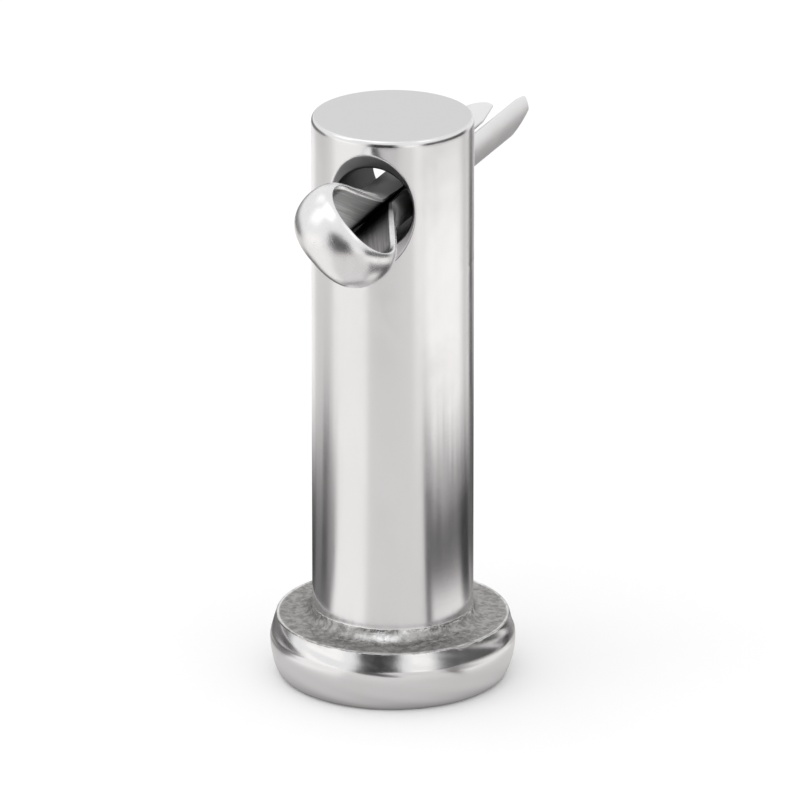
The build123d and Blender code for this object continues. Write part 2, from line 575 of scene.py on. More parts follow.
@dataclass(frozen=True)
class DrawnWire:
    """Half-round stainless wire: bright outside, scored and dull on its flat side."""

    bright: Colour = (0.78, 0.78, 0.785)  # eye
    smudged: Colour = (0.64, 0.63, 0.62)
    leg: Colour = (0.80, 0.80, 0.80)
    dull: Colour = (0.46, 0.46, 0.46)
    scored: Colour = (0.66, 0.66, 0.66)
    pitted: Colour = (0.3, 0.3, 0.3)
    polish_and_glint: Colour = (0.8, 0.8, 0.8)
    # painted shade between the legs in the hole and in the eye's corner
    gap_shade: Colour = (0.03, 0.03, 0.03)
    smudge_share: float = 0.2
    pit_share: float = 0.3
    gap_shade_share: float = 0.92
    eye_roughness: tuple[float, float] = (0.24, 0.29)  # clean and smudged
    leg_roughness: tuple[float, float] = (0.37, 0.43)
    flat_roughness: float = 0.30
    cut_roughness: float = 0.4
    scratch_roughness: float = 0.1  # what a scratch adds
    drawn_lines: tuple[float, float] = (0.0025, 0.010)  # on the round and flat side, in millimetres
    pit_depth: float = 0.004  # millimetres
    scratch_depth: float = 0.0005  # millimetres

    def material(self) -> bpy.types.Material:
        """Builds the material from the finish.

        Returns:
            The material.
        """
        material, w = new_material("drawn_wire")
        chart = w.add("ShaderNodeUVMap", uv_map="chart").outputs[0]
        flat = w.mask(Mask.FLAT)
        eye = w.mask(Mask.PRESSED)
        drawn = effect(w, Effect.LINES, {"Place": w.place((0.5, 14.0, 1.0), source=chart)}).outputs["Height"]
        smudge = effect(w, Effect.SMUDGES, {"Place": w.place(0.7)}).outputs["Value"]
        scratch = effect(w, Effect.SCRATCHES, {"Place": w.place(1.6)}).outputs["Mask"]
        pit = effect(w, Effect.PITS, {"Place": w.place(7.0), "Amount": 0.1})
        polish_and_glint = effect(w, Effect.POLISH_GLINT, {"Place": w.place(3.0), "Edge": w.mask(Mask.EDGE)}).outputs["Mask"]

        outside = w.mix_colour(w.times(smudge, self.smudge_share), self.bright, self.smudged)
        outside = w.mix_colour(eye, self.leg, outside)
        inside = w.mix_colour(w.step(drawn, 0.42, 0.6), self.dull, self.scored)
        colour = w.mix_colour(flat, outside, inside)
        colour = w.mix_colour(w.times(pit.outputs["Mask"], self.pit_share), colour, self.pitted)
        colour = w.mix_colour(polish_and_glint, colour, self.polish_and_glint)
        # painted shade between the legs in the hole and in the eye's corner
        colour = w.mix_colour(w.times(w.mask(Mask.GAP_SHADE), self.gap_shade_share), colour, self.gap_shade)

        rough = w.mix(eye, w.mix(smudge, *self.leg_roughness), w.mix(smudge, *self.eye_roughness))
        rough = w.mix(flat, rough, self.flat_roughness)
        rough = w.mix(w.mask(Mask.CUT), rough, self.cut_roughness)
        rough = w.plus(rough, w.times(scratch, self.scratch_roughness))

        height = w.times(drawn, w.mix(flat, *self.drawn_lines))
        height = w.plus(height, w.times(pit.outputs["Height"], self.pit_depth))
        height = w.minus(height, w.times(scratch, self.scratch_depth))
        finish_steel(w, colour, rough, height)
        return material


# ---------------------------------------------------------------- clevis pin


@dataclass
class ClevisPin:
    """Headed pin with a countersunk cross hole, as one surface."""

    radius: float = 4.0
    top: float = 29.1
    end_rounding: tuple[float, float] = (0.16, 0.32)  # across and along the pin
    head_radius: float = 6.1
    head_thickness: float = 3.1
    face_radius: float = 5.45
    bearing_radius: float = 5.8
    rim_height: float = 1.9
    rim_edge: float = 0.09  # rounding of the rim's top edge
    rim_bend: tuple[float, float] = (0.015, 0.28)  # inset and height of the bend into the widest place
    burr: float = 0.035  # how far the rim's top edge stands over the bearing face
    bearing_ripple: float = 0.03  # how far the forging leaves the bearing face out of true
    rim_ripple: float = 0.05  # and the rim
    ripple_waves: tuple[int, int] = (2, 9)
    ripple_seed: int = 5
    fillet: float = 0.6
    hole_height: float = 25.4
    hole_radius: float = 2.0
    sink_radius: float = 2.95
    sink_depth: float = 0.85
    mouth_edge: float = 0.07
    bore_edge: float = 0.12
    lightest_bearing: float = -45.0  # where the countersink's painted shade is lightest, in degrees round it
    glint_side: tuple[float, float] = (12.0, 16.0)  # middle and width of the painted glint at the fillet's front, in degrees
    band: tuple[float, float] = (-3.7, 3.15)  # wall round the hole, from the hole's axis
    half_ring: int = 96
    side_steps: int = 44
    finish: TurnedSteel = field(default_factory=TurnedSteel)

    def mouth_radius(self, bearing: np.ndarray) -> np.ndarray:
        """Distance of the countersink's outline from the hole's axis.

        It is the root of r = a + k sqrt(R^2 - (r cos b)^2), where the cone meets the round shank.

        Args:
            bearing: Angles round the hole's axis, from the shank's side.

        Returns:
            The radius at each bearing.
        """
        k = (self.sink_radius - self.hole_radius) / self.sink_depth
        a = self.hole_radius - (self.radius - self.sink_depth) * k
        curve = 1 + (k * np.cos(bearing)) ** 2
        return (a + np.sqrt(a**2 - curve * (a**2 - (k * self.radius) ** 2))) / curve

    def on_bore(self, reach: np.ndarray, bearing: np.ndarray, depth: np.ndarray) -> np.ndarray:
        """Points at a reach and bearing from the hole's axis, at a distance from the shank's axis."""
        depth = np.broadcast_to(depth, np.shape(reach * bearing))
        return np.stack([reach * np.cos(bearing), -depth, self.hole_height + reach * np.sin(bearing)], -1)

    def on_wall(self, across: np.ndarray, up: np.ndarray) -> np.ndarray:
        """Points on the shank: the angle is the distance round it over its radius.

        Args:
            across: Distances round the shank, from its front.
            up: Heights above the hole's axis.

        Returns:
            The points, in the shape of both with a last axis of three.
        """
        turn = across / self.radius
        height = self.hole_height + np.broadcast_to(up, np.shape(turn))
        return np.stack([self.radius * np.sin(turn), -self.radius * np.cos(turn), height], -1)

    def frame_outline(self) -> np.ndarray:
        """Outline of the half wall round one mouth, unrolled.

        Returns:
            Distances round and up the shank, two to a row: bottom, right, top and left, closed.
        """
        half = pi * self.radius / 2
        low, high = self.band
        flat = np.linspace(-half, half, self.half_ring + 1)
        side = np.linspace(low, high, self.side_steps + 1)
        right, left = np.full(side.size - 1, half), np.full(side.size, -half)
        across = np.concatenate([flat[:-1], right, flat[:0:-1], left])
        bottom, top = np.full(flat.size - 1, low), np.full(flat.size - 1, high)
        up = np.concatenate([bottom, side[:-1], top, side[::-1]])
        return np.stack([across, up], -1)

    def mouth_patch(self) -> Patch:
        """Bore edge, countersink, mouth edge and wall: straight spokes from the hole to the outline.

        Returns:
            The patch on the side towards -Y, rows outwards from the bore and columns round it.
        """
        outline = self.frame_outline()
        bearing = np.arctan2(outline[:, 1], outline[:, 0])
        start = self.radius - self.sink_depth
        mouth = self.mouth_radius(bearing)
        level = np.sqrt(self.radius**2 - (mouth * np.cos(bearing)) ** 2)
        length = np.hypot(mouth - self.hole_radius, level - start)
        rise, run = (level - start) / length, (mouth - self.hole_radius) / length

        hole = np.full_like(bearing, self.hole_radius)
        bore, sharp = (self.on_bore(hole, bearing, depth) for depth in (start - self.bore_edge, start))
        inner, outer = (
            self.on_bore(self.hole_radius + s * run, bearing, start + s * rise)
            for s in (self.bore_edge, length - self.mouth_edge)
        )
        corner = self.on_bore(mouth, bearing, level)
        around = self.radius * np.arcsin(mouth * np.cos(bearing) / self.radius)
        first = np.stack([around, mouth * np.sin(bearing)], -1)
        spoke = outline - first
        edge_share = self.mouth_edge / np.linalg.norm(spoke, axis=1)
        crowding = 1.35  # rows are closer together near the mouth
        growth = np.linspace(0, 1, 17)[:, None] ** crowding
        share = edge_share + (1 - edge_share) * growth
        wall = self.on_wall(first[:, 0] + share * spoke[:, 0], first[:, 1] + share * spoke[:, 1])

        edge_rows = bezier(bore, sharp, inner, 6)
        cone = blend(inner, outer, np.linspace(0, 1, 7)[1:-1])
        mouth_rows = bezier(outer, corner, wall[0], 7)
        points = np.concatenate([edge_rows, cone, mouth_rows, wall[1:]])
        sunk = 0.6  # how much of the bore's finish and painted shade the countersink has
        drilled_and_shaded = np.concatenate([
            np.ones(len(edge_rows)),
            np.full(len(cone), sunk),
            np.linspace(sunk, 0, len(mouth_rows)),
            np.zeros(len(wall) - 1),
        ])[:, None]
        # painted light and shade in the countersink: lightest below towards +X, darkest above towards -X
        painted_shading = 0.6 - 0.4 * np.cos(bearing - radians(self.lightest_bearing))
        drilled_and_shaded = np.where(drilled_and_shaded < 1, drilled_and_shaded * painted_shading, 1.0)
        before = np.zeros(len(edge_rows) + len(cone))
        polish = [0.2, 0.7, 1.0, 1.0, 0.8, 0.4, 0.1]  # over the mouth's rounded edge
        edge = np.concatenate([before, polish, np.zeros(len(wall) - 1)])
        return Patch(points, {Mask.DRILLED_AND_SHADED: drilled_and_shaded, Mask.EDGE: edge[:, None]})

    def mirrored(self, patch: Patch) -> Patch:
        """The same patch on the far side of the shank."""
        return Patch(patch.points * np.array([1, -1, 1]), patch.masks)

    def bore_patch(self) -> Patch:
        """The bore between the two mouths: a circle carried along Y.

        Returns:
            The patch, rows along the bore and columns round it.
        """
        outline = self.frame_outline()
        bearing = np.arctan2(outline[:, 1], outline[:, 0])
        reach = self.radius - self.sink_depth - self.bore_edge
        depth = np.linspace(-reach, reach, 14)[:, None]
        ring = np.broadcast_to(bearing, (depth.size, bearing.size))
        return Patch(self.on_bore(self.hole_radius, ring, depth), {Mask.DRILLED_AND_SHADED: np.ones(ring.shape)})

    def turned(self, profile: np.ndarray, masks: dict[Mask, np.ndarray], uneven: np.ndarray) -> Patch:
        """Revolves a profile: each point of it becomes a ring about +Z.

        Points within the margin of the bearing face's level fall by the forging's ripple, and all
        others draw in by it.

        Args:
            profile: Reach from the axis and height, two to a row.
            masks: Masks along the profile.
            uneven: How far the forging's ripple may move each point, in millimetres.

        Returns:
            The patch, rows along the profile and columns round the pin.
        """
        angle = np.linspace(-pi, pi, 2 * self.half_ring + 1)
        reach, height = profile[:, :1], profile[:, 1:]
        twist = 0.9  # radians that the ripple turns in a millimetre of height
        margin = 0.02
        wave = ripple(angle + height * twist, self.ripple_waves, self.ripple_seed)
        fall = uneven[:, None] * (0.5 + 0.5 * wave)
        bearing_face = height >= self.head_thickness - margin
        reach = reach - fall * ~bearing_face
        height = height - fall * bearing_face
        height = np.broadcast_to(height, np.broadcast_shapes(height.shape, angle.shape))
        points = np.stack([reach * np.sin(angle), -reach * np.cos(angle), height], -1)
        return Patch(points, {name: values[:, None] for name, values in masks.items()})

    def flat_profile(self, radius: float, height: float) -> np.ndarray:
        """Profile of a flat end, from near its edge to its centre.

        Args:
            radius: Reach of the edge.
            height: Height of the flat.

        Returns:
            Reach and height, two to a row.
        """
        inner = radius * np.array([0.985, 0.94, 0.85, 0.7, 0.5, 0.3, 0.12, 0.0])
        return np.stack([inner, np.full(inner.size, height)], -1)

    def end_patch(self) -> Patch:
        """Free end: the wall above the hole, the rounded corner and the faced end.

        Returns:
            The patch, rows upwards and then inwards, and columns round the pin.
        """
        rounding = np.array(self.end_rounding)
        centre = np.array([self.radius, self.top]) - rounding
        heights = np.linspace(self.hole_height + self.band[1], centre[1], 3)
        wall = np.stack([np.full(heights.size, self.radius), heights], -1)
        turn = np.linspace(0, pi / 2, 11)[1:, None]
        corner = centre + rounding * np.concatenate([np.cos(turn), np.sin(turn)], 1)
        face = self.flat_profile(corner[-1, 0], self.top)
        along = np.linspace(0, 1, len(corner))
        masks = {
            Mask.CUT: np.concatenate([np.zeros(len(wall)), along**3, np.ones(len(face))]),
            Mask.EDGE: np.concatenate([np.zeros(len(wall)), 0.3 * np.sin(pi * along), np.zeros(len(face))]),
        }
        profile = np.concatenate([wall, corner, face])
        return self.turned(profile, masks, np.zeros(len(profile)))

    def upper_rim(self) -> np.ndarray:
        """Upper part of the rim, from the bearing face down to its widest place.

        Two rounded corners by the curve (1-t)^2 a + 2t(1-t) b + t^2 c, with a plain slope between.

        Returns:
            Reach and height, two to a row.
        """
        edge = self.rim_edge
        low = np.array([self.head_radius, self.rim_height])
        corner = np.array([self.bearing_radius, self.head_thickness])
        slope = low - corner
        along = slope / np.hypot(*slope)
        start = corner - [1.2 * edge, 0.5 * self.burr]
        top = bezier(start[None], corner[None], (corner + edge * along)[None], 10)[:, 0]
        inset, rise = self.rim_bend
        before = low + np.array([-inset, rise])
        bend = bezier(before[None], low[None] + [0, 0.12], low[None], 8)[:, 0]
        middle = top[-1] + (before - top[-1]) * np.linspace(0, 1, 10)[1:-1, None]
        return np.concatenate([top, middle, bend])

    def head_profile(self) -> list[np.ndarray]:
        """Profile of the shank and head, from the hole down to the centre of the flat.

        Returns:
            Plain shank, fillet, bearing face, upper rim, lower rim and flat, each with its own points.
        """
        foot = self.head_thickness + self.fillet
        heights = np.concatenate([np.linspace(self.hole_height + self.band[0], foot + 0.1, 44), [foot]])
        shank = np.stack([np.full(heights.size, self.radius), heights], -1)
        turn = np.linspace(0, pi / 2, 12)[1:, None]
        reach = self.radius + self.fillet * (1 - np.cos(turn))
        fillet = np.concatenate([reach, foot - self.fillet * np.sin(turn)], 1)
        ring = np.linspace(self.radius + self.fillet, self.bearing_radius - 0.12, 24)[1:]
        into = ring - self.radius - self.fillet
        rise, spread = 0.6, 0.3  # beside the fillet the face rises by this share of the burr, this widely
        sunk = self.burr * (1 - rise * np.exp(-((into / spread) ** 2)))
        bearing = np.stack([ring, self.head_thickness - sunk], -1)
        turn = np.linspace(0, pi / 2, 20)[1:, None]
        wide = self.head_radius - self.face_radius
        reach = self.face_radius + wide * np.cos(turn)
        bowl = np.concatenate([reach, self.rim_height * (1 - np.sin(turn))], 1)
        return [shank, fillet, bearing, self.upper_rim(), bowl, self.flat_profile(self.face_radius, 0.0)]

    def head_patch(self) -> Patch:
        """Plain shank, fillet, bearing face, rim and the flat that the pin stands on.

        Returns:
            The patch, rows from the hole down to the centre of the flat.
        """
        profile = self.head_profile()
        shank, fillet, bearing, slope, bowl, flat = (np.linspace(0, 1, len(part)) for part in profile)
        none, full = np.zeros_like, np.ones_like
        forged = [none(shank), 0.5 + 0.5 * fillet, full(bearing), 0.9 - 1.5 * slope, none(bowl), none(flat)]
        cut = [none(shank), none(fillet), none(bearing), none(slope), bowl**6, full(flat)]
        edge = [none(shank), none(fillet), bearing**40, (1 - slope) ** 3, none(bowl), none(flat)]
        uneven = [
            none(shank),
            none(fillet),
            self.bearing_ripple * np.sin(pi * bearing),
            self.rim_ripple * np.sin(pi * slope),
            self.rim_ripple * np.sin(pi * bowl),
            none(flat),
        ]
        masks = {Mask.FORGED: np.concatenate(forged), Mask.CUT: np.concatenate(cut)}
        patch = self.turned(np.concatenate(profile), masks, np.concatenate(uneven))
        angle = np.linspace(-180, 180, patch.points.shape[1])
        centre, width = self.glint_side
        polish_and_glint = np.concatenate(edge)[:, None] * np.ones(angle.size)
        # painted glint: the fillet is lighter only in a narrow band of angles at its front
        painted_shading = np.sin(pi * fillet)[:, None] * np.exp(-(((angle - centre) / width) ** 2))
        polish_and_glint[shank.size:shank.size + fillet.size] = painted_shading
        patch.masks[Mask.EDGE] = polish_and_glint
        return patch

    def build(self) -> bpy.types.Object:
        """Makes the piece and puts it in place of its solid.

        Returns:
            The finished object.
        """
        mouth = self.mouth_patch()
        patches = [mouth, self.mirrored(mouth), self.bore_patch(), self.end_patch(), self.head_patch()]
        piece = weld("headed_pin", patches, [Mask.CUT, Mask.FORGED, Mask.DRILLED_AND_SHADED, Mask.EDGE])
        piece.data.materials.append(self.finish.material())
        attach(piece, "clevis_pin")
        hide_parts("clevis_pin")
        return piece


# ---------------------------------------------------------------- split pin


@dataclass
class SplitPin:
    """Folded half-round wire with an eye, as one surface carried along its route."""

    half_width: float = 1.4
    thickness: float = 1.25
    girth: float = 6.6  # way round the wire, for the drawn lines
    leg_gap: float = 0.14
    eye_end: float = 4.7
    eye_bend: float = 1.3
    neck_bend: float = 2.2
    long_side: tuple[float, float] = (0.55, 28.5)  # neck and slope
    short_side: tuple[float, float] = (0.85, 33.5)
    long_leg: float = 19.6
    short_leg: float = 16.2
    mandrel_end: float = 5.3
    mandrel_bend: float = 1.7
    mandrel_long: tuple[float, float] = (0.0, 31.0)
    mandrel_short: tuple[float, float] = (0.55, 39.0)
    deepest: float = 0.75  # most that the mandrel may press the wire
    eye_depth: float = 0.3  # pressing from which the wire has the eye's finish
    press_spread: float = 0.12  # width over which the pressing is evened out along the wire
    long_tip: tuple[tuple, tuple] = ((1.0, 0.1), (1.5, 0.45))  # flat bevel and round bevel
    short_tip: tuple[tuple, tuple] = ((2.2, 0.3), (0.55, 0.65))
    tip_edge: float = 0.1
    tip_reach: float = 2.6  # end of a leg on which the stations are close together
    leg_edge: float = 0.09  # rounded corners of the half round
    eye_edge: float = 0.13  # what the pressing adds to them
    crown_edge: float = 0.03  # softness of the edge where a bevel cuts the crown
    leg_polish: float = 0.25  # polish of the legs' corners, where the eye's have 1
    closed: tuple[float, float] = (-8.6, -0.2)  # from where to where the legs bend together in the hole
    closing_run: tuple[float, float] = (1.4, 1.2)  # way over which they do so at either end
    closing_share: float = 0.45  # share of the gap that each leg takes up
    gap_shade_start: tuple[float, float] = (-8.2, 0.6)  # where the painted shade starts along the legs, and its rise
    gap_shade_end: tuple[float, float] = (0.55, 0.5)  # where it ends in the eye's corner, and its fall
    cap_rings: tuple[float, ...] = (0.0, 0.35, 0.7, 0.9)  # rings that close a tip, as shares of its outline
    roll: float = 45.0
    skew: float = 3.3
    pivot: float = 7.7
    shank_radius: float = 4.0
    hole_height: float = 25.4
    finish: DrawnWire = field(default_factory=DrawnWire)

    def corner(self, side: tuple[float, float], end: float, sign: int) -> tuple[float, float]:
        """Corner of the eye, where a side at its slope meets the straight across the end."""
        return end, sign * (end - side[0]) * tan(radians(side[1]))

    def rounded(self, corners: np.ndarray, bends: list[float], steps: int) -> tuple[np.ndarray, np.ndarray]:
        """Route with round corners: straights, and arcs that touch both straights at each corner.

        Args:
            corners: Corner points, ends included.
            bends: Radius at each inner corner.
            steps: Points on each arc.

        Returns:
            Points and unit normals on their left, both two to a row, without the straights' inside.
        """
        heading = np.diff(corners, axis=0)
        heading /= np.linalg.norm(heading, axis=1)[:, None]
        left = np.stack([-heading[:, 1], heading[:, 0]], -1)
        points, normals = [corners[:1]], [left[:1]]
        for number, bend in enumerate(bends):
            before, after = heading[number], heading[number + 1]
            side = np.sign(before[0] * after[1] - before[1] * after[0])
            angle = np.arccos(np.clip(before @ after, -1, 1))
            entry = corners[number + 1] - before * bend * tan(angle / 2)
            turn = np.linspace(0, angle, steps)[:, None] * side
            swung = np.cos(turn) * left[number] - np.sin(turn) * heading[number]
            points.append(entry + side * bend * (left[number] - swung))
            normals.append(swung)
        return np.concatenate([*points, corners[-1:]]), np.concatenate([*normals, left[-1:]])

    def tip_stations(self) -> np.ndarray:
        """Distances from a leg's tip, close together over its bevels."""
        edge = self.tip_edge * (1 - np.cos(np.linspace(0, pi / 2, 7)))
        return np.concatenate([edge, np.linspace(self.tip_edge, self.tip_reach, 34)[1:]])

    def leg(self, tip: float, root: float, side: int) -> np.ndarray:
        """Straight part of a leg's flat side, from its tip to the start of its bend.

        Args:
            tip: Place of the tip along the leg.
            root: Place of the bend's start.
            side: 1 for the long leg, -1 for the short one.

        Returns:
            Points in the plane of the eye, two to a row.
        """
        close = tip + self.tip_stations()
        run = np.concatenate([close, np.linspace(close[-1], root, 40)[1:-1]])
        return np.stack([run, np.full(run.size, side * self.leg_gap / 2)], -1)

    def route(self) -> tuple[np.ndarray, np.ndarray]:
        """The wire's flat side from the long leg's tip, round the eye, to the short leg's tip.

        Returns:
            Points and outward normals in the plane of the eye, two to a row.
        """
        gap = self.leg_gap / 2
        far = self.corner(self.long_side, self.eye_end, 1)
        near = self.corner(self.short_side, self.eye_end, -1)
        corners = np.array([
            (-self.long_leg, gap),
            (self.long_side[0], gap),
            (far[0], far[1] + gap),
            (near[0], near[1] - gap),
            (self.short_side[0], -gap),
            (-self.short_leg, -gap),
        ])
        bends = [self.neck_bend, self.eye_bend, self.eye_bend, self.neck_bend]
        points, normals = self.rounded(corners, bends, 22)
        long_leg = self.leg(-self.long_leg, points[1, 0], 1)
        short_leg = self.leg(-self.short_leg, points[-2, 0], -1)[::-1]
        up = np.array([[0.0, 1.0]])
        eye, out = self.filled(points[1:-1], normals[1:-1])
        points = np.concatenate([long_leg, eye, short_leg])
        normals = np.concatenate([np.repeat(up, len(long_leg), 0), out, np.repeat(-up, len(short_leg), 0)])
        return points, normals

    def filled(self, points: np.ndarray, normals: np.ndarray) -> tuple[np.ndarray, np.ndarray]:
        """Adds points on the straights between arcs, where neighbours are far apart.

        Args:
            points: Points of the arcs in order.
            normals: Their normals.

        Returns:
            The denser points and normals.
        """
        longest, nearest = 0.25, 0.08  # a longer step is filled, but not closer than this to its ends
        step = np.linalg.norm(np.diff(points, axis=0), axis=1)
        distance = np.concatenate([[0], np.cumsum(step)])
        extra = np.linspace(0, distance[-1], 90)
        gap = np.searchsorted(distance, extra) - 1
        wide = step[np.clip(gap, 0, step.size - 1)] > longest
        clear = np.abs(extra[:, None] - distance).min(1) > nearest
        places = np.sort(np.concatenate([distance, extra[wide & clear]]))
        dense = np.stack([np.interp(places, distance, points[:, k]) for k in (0, 1)], -1)
        out = np.stack([np.interp(places, distance, normals[:, k]) for k in (0, 1)], -1)
        return dense, out / np.linalg.norm(out, axis=1)[:, None]

    def pressing(self, points: np.ndarray, normals: np.ndarray) -> np.ndarray:
        """How far the mandrel pressed the flat side outwards: the way along the normal to its outline.

        Args:
            points: Route of the flat side.
            normals: Outward normals.

        Returns:
            Distance at each point, nought outside the mandrel.
        """
        long_corner = self.corner(self.mandrel_long, self.mandrel_end, 1)
        short_corner = self.corner(self.mandrel_short, self.mandrel_end, -1)
        corners = np.array([(self.mandrel_long[0], 0), long_corner, short_corner, (self.mandrel_short[0], 0)])
        outline, _ = self.rounded(corners, [self.mandrel_bend] * 2, 30)
        start = np.concatenate([outline, outline[:1]])
        leg = np.diff(start, axis=0)[None]
        offset = start[None, :-1] - points[:, None]
        ray = normals[:, None]
        scale = ray[..., 0] * leg[..., 1] - ray[..., 1] * leg[..., 0]
        parallel = 1e-12
        scale = np.where(np.abs(scale) < parallel, parallel, scale)
        reach = (offset[..., 0] * leg[..., 1] - offset[..., 1] * leg[..., 0]) / scale
        share = (offset[..., 0] * ray[..., 1] - offset[..., 1] * ray[..., 0]) / scale
        hit = (share >= 0) & (share < 1) & (reach > 0)
        inside = hit.sum(1) % 2 == 1
        first = np.where(hit, reach, np.inf).min(1)
        return np.where(inside, np.minimum(first, self.deepest), 0.0)

    def smoothed(self, values: np.ndarray, distance: np.ndarray, width: float) -> np.ndarray:
        """Weighted mean of a value along the route, with weights exp(-(d / width)^2).

        Args:
            values: The value at each station.
            distance: Distance of each station along the route.
            width: Width of the bell of weights.

        Returns:
            The mean at each station.
        """
        weight = np.exp(-(((distance[:, None] - distance) / width) ** 2))
        weight *= np.gradient(distance)
        return (weight @ values) / weight.sum(1)

    def tip_limits(self, distance: np.ndarray, bevels: tuple[tuple, tuple]) -> tuple[np.ndarray, np.ndarray]:
        """Lowest and highest level that a tip's two bevels leave, above the flat side.

        Args:
            distance: Distances from the tip.
            bevels: Length and depth of the bevel on the flat side and on the round side.

        Returns:
            Both levels at each distance.
        """
        unlimited = 9.0
        (flat_run, flat_depth), (round_run, round_depth) = bevels
        low = flat_depth * np.clip(1 - distance / flat_run, 0, 1)
        high = self.thickness - round_depth * np.clip(1 - distance / round_run, 0, 1)
        return low, np.where(distance < round_run, high, unlimited)

    def bevelled(self, before: np.ndarray, first: np.ndarray, second: np.ndarray,
                 after: np.ndarray) -> np.ndarray:
        """Corner of the outline as two small roundings with a straight between them.

        Each rounding is (1-t)^2 a + 2t(1-t) b + t^2 c, and the straight joins the corner's two edges.

        Args:
            before: Level or place where the arc ends, one to a station.
            first: Level or place of the edge on the arc.
            second: Level or place of the edge on the flat.
            after: Level or place where the flat starts.

        Returns:
            Levels or places of the corner's points, stations by nine.
        """
        t = np.linspace(0, 1, 6)[None, 1:-1]
        upper = (1 - t) ** 2 * before + 2 * t * (1 - t) * first + t**2 * (0.75 * first + 0.25 * second)
        lower = (1 - t) ** 2 * (0.25 * first + 0.75 * second) + 2 * t * (1 - t) * second + t**2 * after
        return np.concatenate([upper, 0.5 * (first + second), lower], 1)

    def section(self, pressed: np.ndarray, low: np.ndarray, high: np.ndarray, edge: np.ndarray,
                inset: np.ndarray) -> tuple[np.ndarray, np.ndarray, np.ndarray, np.ndarray]:
        """Outline of the wire at every station: an arc, a bevelled corner, the flat and a bevelled corner.

        Pressing squeezes the levels of the whole outline into what is left of the thickness, so that
        the wire gets thinner and stays as wide as it was.

        Args:
            pressed: How far the flat was pressed outwards.
            low: Level below which the outline is cut off.
            high: Level that the outline may not pass.
            edge: Size of the rounded corners.
            inset: How far the outline is drawn in, near a tip.

        Returns:
            Level and place across the wire, stations by columns, with the flat mask and edge mask.
        """
        arc_radius = (self.half_width**2 + self.thickness**2) / (2 * self.thickness)
        centre = self.thickness - arc_radius
        pressed, low, high, edge, inset = (v[:, None] for v in (pressed, low, high, edge, inset))
        margin = 1.3 * edge  # how much the arc and the flat give up to a corner
        full = np.arccos((low - centre) / arc_radius)
        half_flat = arc_radius * np.sin(full)
        swing = (full - margin / arc_radius) * np.linspace(-1, 1, 37)
        arc_level, arc_across = centre + arc_radius * np.cos(swing), arc_radius * np.sin(swing)
        on_arc = full - edge / arc_radius
        first_level, first_across = centre + arc_radius * np.cos(on_arc), arc_radius * np.sin(on_arc)
        round_level = self.bevelled(arc_level[:, -1:], first_level, low, low)
        round_across = self.bevelled(arc_across[:, -1:], first_across, half_flat - edge, half_flat - margin)
        across = (half_flat - margin) * np.linspace(1, -1, 17)
        bottom = np.broadcast_to(low, across.shape)
        level = np.concatenate([arc_level, round_level, bottom, round_level[:, ::-1], arc_level[:, :1]], 1)
        back = -round_across[:, ::-1]
        wide = np.concatenate([arc_across, round_across, across, back, arc_across[:, :1]], 1)

        level = 0.5 * (level + high - np.sqrt((level - high) ** 2 + self.crown_edge**2))
        level = pressed + level * (1 - pressed / self.thickness)
        middle = 0.5 * (level.min(1, keepdims=True) + level.max(1, keepdims=True))
        shrink = 1 - inset / np.hypot(level - middle, wide)

        ramp = np.array([0, 0, 0, 0, 0.1, 0.6, 0.8, 1, 1])
        bell = np.array([0.5, 1, 1, 1, 1, 1, 1, 1, 0.5])
        arc, base = np.zeros(37), np.ones(17)
        flat = np.concatenate([arc, ramp, base, ramp[::-1], [0]])
        rim = np.concatenate([arc, bell, 0 * base, bell, [0]])
        return middle + (level - middle) * shrink, wide * shrink, flat, rim

    def placed(self, points: np.ndarray) -> np.ndarray:
        """Points from the plane of the eye to the pin's frame.

        Args:
            points: Outwards through the eye, across the eye, and square to its plane.

        Returns:
            Points in the pin's frame.
        """
        roll, skew = radians(-self.roll), radians(-self.skew)
        out, side, up = np.array([0.0, -1, 0]), np.array([1.0, 0, 0]), np.array([0.0, 0, 1])
        rolled = cos(roll) * side + sin(roll) * up
        square = cos(roll) * up - sin(roll) * side
        along = cos(skew) * out + sin(skew) * rolled
        across = cos(skew) * rolled - sin(skew) * out
        origin = np.array([0, -self.pivot, self.hole_height]) + along * (self.shank_radius - self.pivot)
        return origin + points @ np.stack([along, across, square])

    def closing(self, place: np.ndarray) -> np.ndarray:
        """How far each leg bends towards the other inside the hole.

        It is the product of two smooth steps 3s^2 - 2s^3, one up and one down along the legs.

        Args:
            place: Places along the legs, from the shank's front outwards.

        Returns:
            The distance at each place.
        """
        (far, front), (far_run, front_run) = self.closed, self.closing_run
        down = np.clip((front - place) / front_run, 0, 1)
        up = np.clip((place - far) / far_run, 0, 1)
        share = down**2 * (3 - 2 * down) * up**2 * (3 - 2 * up)
        return share * self.closing_share * self.leg_gap

    def gap_shade(self, place: np.ndarray) -> np.ndarray:
        """Painted shade along the wire: it rises in the far end of the hole and dies away in the eye's
        corner.

        Args:
            place: Places along the legs, from the shank's front outwards.

        Returns:
            Amount at each place, from 0 to 1.
        """
        (start, rise), (end, fall) = self.gap_shade_start, self.gap_shade_end
        return np.exp(-np.clip(place - end, 0, None) / fall) * np.clip((place - start) / rise, 0, 1)

    def capped(self, grid: np.ndarray) -> np.ndarray:
        """Closes both tips with rings that shrink to the middle of the outline.

        Args:
            grid: Outlines, stations by columns by three.

        Returns:
            The grid with the rings before and after it.
        """
        caps = []
        for row in (grid[0], grid[-1]):
            middle = 0.5 * (row.min(0) + row.max(0))
            caps.append(middle + np.array(self.cap_rings)[:, None, None] * (row - middle))
        return np.concatenate([caps[0], grid, caps[1][::-1]])

